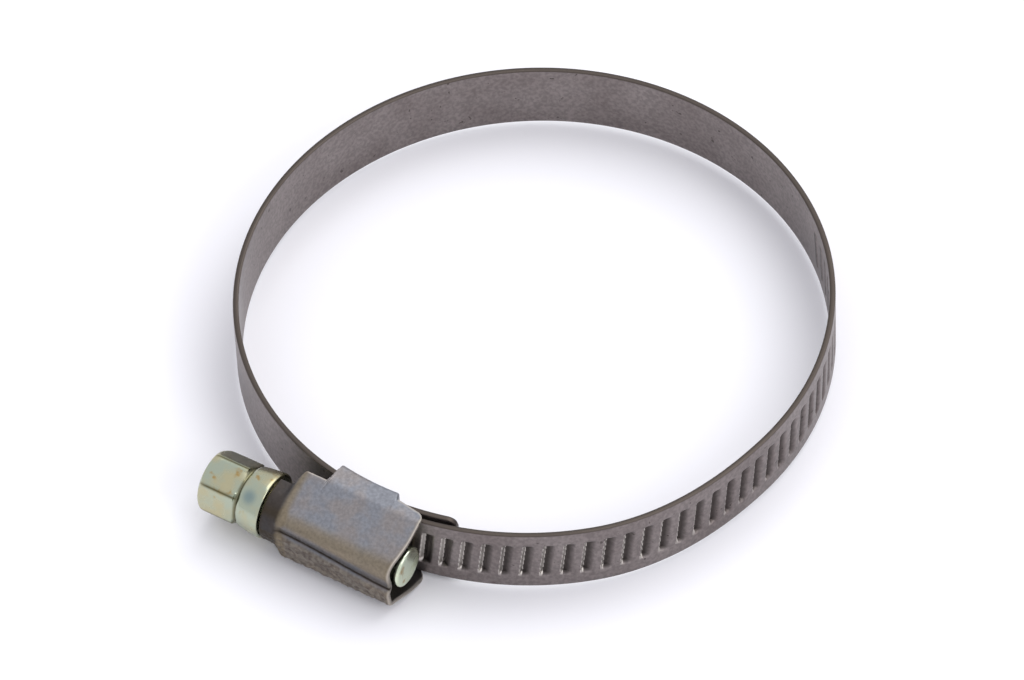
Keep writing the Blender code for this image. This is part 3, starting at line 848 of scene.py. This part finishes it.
hex_radii, hex_worn = zip(*(hexagon(column) for column in range(COLUMNS)))
head_rings = []
for i in range(DOME_STEPS + 1):
    lean = math.pi / 2 * i / DOME_STEPS
    dome = FACE_RADIUS + (DOME_REACH - FACE_RADIUS) * math.sin(lean)
    x = HEAD_START + DOME_LENGTH * (1 - math.cos(lean)) ** 1.1
    radii = [power_mean(radius, dome, DOME_POWER) for radius in hex_radii]
    head_rings.append((x, radii, [worn * i / DOME_STEPS for worn in hex_worn]))
for before_collar in (2.4 * MM, 1.2 * MM, 0.35 * MM):
    head_rings.append((COLLAR_START - before_collar, list(hex_radii), list(hex_worn)))
collar_profile = [
    (COLLAR_START - 0.12 * MM, 3.45 * MM),
    (COLLAR_START, 3.40 * MM),
    (COLLAR_START + 0.12 * MM, 3.55 * MM),
    (COLLAR_START + 0.45 * MM, 3.75 * MM),
    (COLLAR_START + 1.2 * MM, 3.86 * MM),
    (COLLAR_END - 0.9 * MM, 4.0 * MM),
    (COLLAR_END - 0.3 * MM, 4.03 * MM),
    (COLLAR_END - 0.08 * MM, 3.95 * MM),
    (COLLAR_END, 3.75 * MM),
    (COLLAR_END, 3.0 * MM),
    (worm_sizes["Start x"], 3.0 * MM),
    (worm_sizes["Start x"] + 0.3 * MM, CORE_RADIUS),
]
# The groove by the hexagon gets painted shade through the corner attribute.
head_rings += turned_rings(
    collar_profile, lambda x: GROOVE_SHADE if abs(x - COLLAR_START) < GROOVE_HALF else 0.0
)
head = ring_piece("screw_head", head_rings, screw_finish)
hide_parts("worm_screw")

# %% [markdown]
# The tip past the thread is a plain turned pilot with a broken edge. Its end face is dished very slightly,
# as a saw or a die leaves it.

# %% The pilot at the tip
WORM_END = worm_sizes["End x"]
TIP_RADIUS = 2.45 * MM
tip_profile = [
    (WORM_END - 0.5 * MM, CORE_RADIUS),
    (WORM_END - 0.1 * MM, TIP_RADIUS),
    (TIP_END - 0.22 * MM, TIP_RADIUS),
    (TIP_END - 0.06 * MM, TIP_RADIUS - 0.08 * MM),
    (TIP_END, TIP_RADIUS - 0.26 * MM),
    (TIP_END - 0.03 * MM, TIP_RADIUS * 0.5),
    (TIP_END - 0.05 * MM, TIP_RADIUS * 0.1),
]
ring_piece("screw_tip", turned_rings(tip_profile, lambda x: 0.0), tip_finish)

# %% [markdown]
# ## The housing
# One piece of sheet is folded over the screw: a flat roof, a rounded shoulder, a wall with a crease, and legs
# that reach down both edges of the band, with a tab on each leg tucked under it. Its section changes along
# the screw, so the mesh is lofted: the fold line of one section is a list of corners, each rounded by its own
# radius, and many sections along X are joined. The sheet's thickness is an offset of that line.

# %% Fold lines
SECTION_POINTS = 190


def rounded_path(corners, steps=10):
    """Points along straight lines through (out, up, radius) corners, each rounded by its radius."""
    path = [Vector(corners[0][:2])]
    for before, corner, after in zip(corners, corners[1:], corners[2:]):
        middle = Vector(corner[:2])
        back, ahead = Vector(before[:2]) - middle, Vector(after[:2]) - middle
        opening = back.angle(ahead)
        reach = corner[2] / math.tan(opening / 2) if opening < math.pi - 1e-4 else 0.0
        reach = min(reach, 0.48 * back.length, 0.48 * ahead.length)
        start, end = middle + back.normalized() * reach, middle + ahead.normalized() * reach
        for i in range(steps + 1):
            share = i / steps
            path.append(start.lerp(middle, share).lerp(middle.lerp(end, share), share))
    path.append(Vector(corners[-1][:2]))
    return path


def even_points(path):
    """The same path as SECTION_POINTS points, spread evenly."""
    lengths = [0.0]
    for one, other in zip(path, path[1:]):
        lengths.append(lengths[-1] + (other - one).length)
    points, j = [], 0
    for i in range(SECTION_POINTS):
        goal = lengths[-1] * i / (SECTION_POINTS - 1)
        while j < len(path) - 2 and lengths[j + 1] < goal:
            j += 1
        span = lengths[j + 1] - lengths[j]
        points.append(path[j].lerp(path[j + 1], (goal - lengths[j]) / span if span else 0.0))
    return points


def mix(one, other, share):
    """The value a share of the way from one to the other."""
    return one + (other - one) * share


print("each fold line has", SECTION_POINTS, "points")

# %% [markdown]
# Two shapes blend along the screw. The neck at the head's end is a half-round arch. The body's fold line goes
# up one leg, over the flare, the roof and the shoulder, in at the crease, and down the other leg. The tabs
# are long only between their two ends, and the legs' last corners are rounded by a quarter circle.

# %% One section
SHEET = 0.6 * MM
SIDE = WIDTH / 2 + 0.2 * MM + SHEET  # outer face of a leg, from the band's middle
ARCH = 3.85 * MM  # outer face of the sheet, from the screw's axis
FLARE = AXIS_RADIUS - GUIDE_RADIUS
ROOF_UP = SIDE - (FLARE + ARCH) * math.tan(math.radians(22.5))
NECK_REACH = 1.3 * MM
NECK_STEPS = 48
TAB_BACK_RADIUS = LOOP_RADIUS - THICKNESS - 0.2 * MM - SHEET
TAB_START, TAB_END = -5.3 * MM, 2.2 * MM
TAB_WIDTH, LEG_WIDTH = 2.1 * MM, 0.05 * MM  # how far the sheet turns in, at a tab and elsewhere
TAB_BEND, LEG_BEND = 0.75 * MM, 0.02 * MM
TAB_RAMP_IN, TAB_RAMP_OUT = 0.45 * MM, 0.7 * MM
LEG_SHORT, LEG_LONG = -1.1 * MM, 0.5 * MM  # reach past the band's face, before the tab and from it on
LEG_RISE = 0.5 * MM  # how much of that is lost again towards the open end
TOP_LEG_CORNER, LOW_LEG_CORNER = 1.0 * MM, 1.7 * MM
FOLD_RADIUS, SHOULDER_RADIUS = 1.6 * MM, 2.6 * MM
CREASE_DEPTH, CREASE_RADIUS = 0.5 * MM, 0.3 * MM
CREASE_FROM, CREASE_TO = 0.9 * MM, -0.6 * MM  # its height at the neck's end and at the open end
BELLY_DROP, BELLY_RADIUS = 0.9 * MM, 0.7 * MM
LOW_OUT, LOW_UP, LOW_RADIUS = 3.5 * MM, -3.75 * MM, 1.1 * MM

housing_low, housing_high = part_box("housing")
NECK_START, BODY_END = housing_low.x, housing_high.x
BODY_START = -8.8 * MM

neck_angles = [math.pi / 2 - math.pi * i / NECK_STEPS for i in range(NECK_STEPS + 1)]
neck_arch = [Vector((ARCH * math.cos(angle), ARCH * math.sin(angle))) for angle in neck_angles]
neck_line = even_points([Vector((-NECK_REACH, ARCH)), *neck_arch, Vector((-NECK_REACH, -ARCH))])


def quarter_round(from_end, radius):
    """How far a rounded corner of this radius cuts in at a distance from the sheet's end."""
    left = max(radius - from_end, 0.0)
    return radius - math.sqrt(radius**2 - left**2)


def section_at(x):
    """The outer fold line at x as (out from the screw's axis, up) points, and the crease's height."""
    body = smooth(x, BODY_START - 0.8 * MM, BODY_START + 0.5 * MM)
    tab = smooth(x, TAB_START - TAB_RAMP_IN, TAB_START) * (1 - smooth(x, TAB_END, TAB_END + TAB_RAMP_OUT))
    turned_in = mix(LEG_WIDTH, TAB_WIDTH, tab)
    bend = mix(LEG_BEND, TAB_BEND, tab)
    leg_past = mix(LEG_SHORT, LEG_LONG, smooth(x, TAB_START - 0.5 * MM, TAB_START))
    leg_reach = AXIS_RADIUS - LOOP_RADIUS + leg_past - LEG_RISE * smooth(x, TAB_END, BODY_END)
    reach = mix(leg_reach, AXIS_RADIUS - math.sqrt(TAB_BACK_RADIUS**2 - x * x), tab)
    top_reach = reach - quarter_round(BODY_END - x, TOP_LEG_CORNER)
    low_reach = reach - quarter_round(BODY_END - x, LOW_LEG_CORNER)
    top_flare, low_flare = min(FLARE, top_reach - 0.15 * MM), min(FLARE, low_reach - 0.15 * MM)
    crease_up = mix(CREASE_FROM, CREASE_TO, smooth(x, BODY_START, BODY_END))
    corners = [
        (-top_reach, SIDE - turned_in, 0.0),
        (-top_reach, SIDE, bend),
        (-top_flare, SIDE, FOLD_RADIUS),
        (ARCH, ROOF_UP, SHOULDER_RADIUS),
        (ARCH - CREASE_DEPTH, crease_up, CREASE_RADIUS),
        (ARCH - 0.02 * MM, crease_up - BELLY_DROP, BELLY_RADIUS),
        (LOW_OUT, LOW_UP, LOW_RADIUS),
        (-low_flare, -SIDE, FOLD_RADIUS),
        (-low_reach, -SIDE, bend),
        (-low_reach, -SIDE + turned_in, 0.0),
    ]
    body_line = even_points(rounded_path(corners))
    return [neck.lerp(point, body) for neck, point in zip(neck_line, body_line)], crease_up


print(f"the body runs from x {BODY_START / MM:.1f} to {BODY_END / MM:.1f} mm")

# %% [markdown]
# The finish reads four marks off the shape: where the sheet is worn brown or carries a brown painted sheen,
# where it is pitted, how much painted shade it gets at the crease and the neck, and how close it is to the
# cut rim, which gets a painted highlight. The inner face has no wear or pits, only an even painted shade.
# The brown wear lies on the shoulder by the neck, on the rough lower side and at the two ends, and the
# painted sheen on the wall above the crease.

# %% Marks on the sheet
DENT_FADE = 0.5 * MM  # wear and dents change over this length at the two ends
INNER_MARKS = (0.0, 0.0, 0.55)  # wear, pits and painted shade on the inner face


def lower_side(point, crease_up):
    """1 on the wall below the crease, where the sheet was drawn rough, and 0 elsewhere."""
    on_wall = smooth(point.x, 1.2 * MM, 2.6 * MM)
    return on_wall * smooth(crease_up - 0.2 * MM - point.y, 0.0, 0.5 * MM)


def outer_marks(x, point, crease_up, to_end):
    """Wear with painted sheen, pits and painted crease shade at one point of the outer face, each from 0 to 1."""
    body = smooth(x, BODY_START - 0.6 * MM, BODY_START + 0.6 * MM)
    on_wall = smooth(point.x, 1.2 * MM, 2.6 * MM)
    low = lower_side(point, crease_up)
    # Painted sheen: a brown band along the wall above the crease.
    shine = on_wall * smooth(point.y, crease_up + 1.0 * MM, crease_up + 1.9 * MM)
    shine *= 1 - smooth(point.y, 2.8 * MM, 3.7 * MM)
    shoulder_in = smooth(x, BODY_START - 0.5 * MM, BODY_START)
    shoulder = shoulder_in * (1 - smooth(x, BODY_START + 0.3 * MM, BODY_START + 1.2 * MM))
    near_edge = 1 - min(to_end / DENT_FADE, 1.0)
    # Wear on the shoulder, the ends and the lower side, plus the painted sheen on the wall.
    worn = min(1.0, 0.9 * shine + 0.5 * near_edge + 0.9 * shoulder + 0.7 * low)
    # Painted shade: a dark line at the crease, a broader dark band above it, and the neck.
    above = point.y - crease_up
    fold = math.exp(-((above / (0.18 * MM)) ** 2))
    fold += 0.7 * math.exp(-(((above - 0.5 * MM) / (0.95 * MM)) ** 2))
    neck = 1 - smooth(x, BODY_START - 0.5 * MM, BODY_START + 0.25 * MM)
    return worn, low * body, min(1.0, 0.8 * fold * on_wall * body + 0.85 * neck)


def rim_highlight_share(x, to_cut):
    """How much painted highlight the sheet gets this far from a cut edge; the neck gets none."""
    lit = 1 - smooth(to_cut, 0.04 * MM, 0.28 * MM)
    return 0.7 * lit * smooth(x, BODY_START, BODY_START + 1.0 * MM)


print("marks: wear, pits, crease and rim")

# %% [markdown]
# Stations along X give the sections, with three close together at each end to round the cut edge. Each
# section gives a ring: out along the outer face, then back along the inner one. Noise dents the outer face,
# most of all on the rough lower side, and the open end of the wall leans back a little.

# %% The folded sheet
STATION_STEP = 0.14 * MM
EDGE_RADIUS = 0.12 * MM
DENT_SIZE = 0.45 * MM
DENT_DEPTH, ROUGH_DENT_DEPTH = 0.015 * MM, 0.09 * MM
END_LEAN = 0.55 * MM


def station_places():
    """Where the sections stand along X."""
    places = [NECK_START, NECK_START + 0.04 * MM, NECK_START + EDGE_RADIUS]
    x = NECK_START
    while x < BODY_END - 0.01 * MM:
        if NECK_START + EDGE_RADIUS < x < BODY_END - EDGE_RADIUS:
            places.append(x)
        x += STATION_STEP
    return places + [BODY_END - EDGE_RADIUS, BODY_END - 0.04 * MM, BODY_END]


def facing_out(line):
    """The direction out of the sheet at each point of a fold line."""
    normals = []
    for i, point in enumerate(line):
        ahead = line[min(i + 1, len(line) - 1)] - line[max(i - 1, 0)]
        normal = Vector((-ahead.y, ahead.x)).normalized()
        outward = normal.dot(Vector((point.x + 1.5 * MM, point.y))) >= 0
        normals.append(normal if outward else -normal)
    return normals


def sheet_ring(x):
    """One section's ring of points, outer face and then inner, with the marks at each point."""
    line, crease_up = section_at(x)
    to_end = min(x - NECK_START, BODY_END - x)
    inset = EDGE_RADIUS - math.sqrt(max(EDGE_RADIUS**2 - (EDGE_RADIUS - min(to_end, EDGE_RADIUS)) ** 2, 0.0))
    spacing = (line[1] - line[0]).length
    outer = list(zip(line, facing_out(line)))
    ring, marks = [], []
    for inner, side in ((False, outer), (True, outer[::-1])):
        for i, (point, normal) in enumerate(side):
            spot = Vector((x, point.x, point.y)) / DENT_SIZE
            lumps = noise.noise(spot) + 0.5 * noise.noise(spot * 2.3)
            deepest = ROUGH_DENT_DEPTH * lower_side(point, crease_up) + DENT_DEPTH
            dent = deepest * min(to_end / DENT_FADE, 1.0) * lumps
            place = point + normal * (inset - SHEET if inner else dent - inset)
            lean = END_LEAN * smooth(place.x, -1.0 * MM, ARCH) * smooth(x, TAB_END, BODY_END)
            ring.append((x - lean, AXIS_Y - place.x, AXIS_Z + place.y))
            from_side = min(i, SECTION_POINTS - 1 - i) * spacing
            face_marks = INNER_MARKS if inner else outer_marks(x, point, crease_up, to_end)
            marks.append((*face_marks, rim_highlight_share(x, min(to_end, from_side))))
    return ring, marks


def housing_mesh():
    """The rings joined along X and closed at both ends."""
    vertices, faces, marks = [], [], []
    for x in station_places():
        ring, ring_marks = sheet_ring(x)
        vertices += ring
        marks += ring_marks
    size = 2 * SECTION_POINTS
    last = len(vertices) - size
    for start in range(0, last, size):
        for j in range(size):
            k = (j + 1) % size
            faces.append((start + j, start + k, start + size + k, start + size + j))
    for j in range(SECTION_POINTS - 1):
        faces.append((j, j + 1, size - 2 - j, size - 1 - j))
        faces.append((last + size - 1 - j, last + size - 2 - j, last + j + 1, last + j))
    mesh = bpy.data.meshes.new("folded_housing")
    mesh.from_pydata(vertices, [], faces)
    for label, values in zip(("wear_and_painted_light", "rough_side", "crease", "rim_highlight"), zip(*marks)):
        mesh.attributes.new(label, "FLOAT", "POINT").data.foreach_set("value", values)
    mesh.materials.append(housing_finish)
    return mesh


housing = piece_from_mesh("folded_housing", housing_mesh(), "base", 50)
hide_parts("housing")
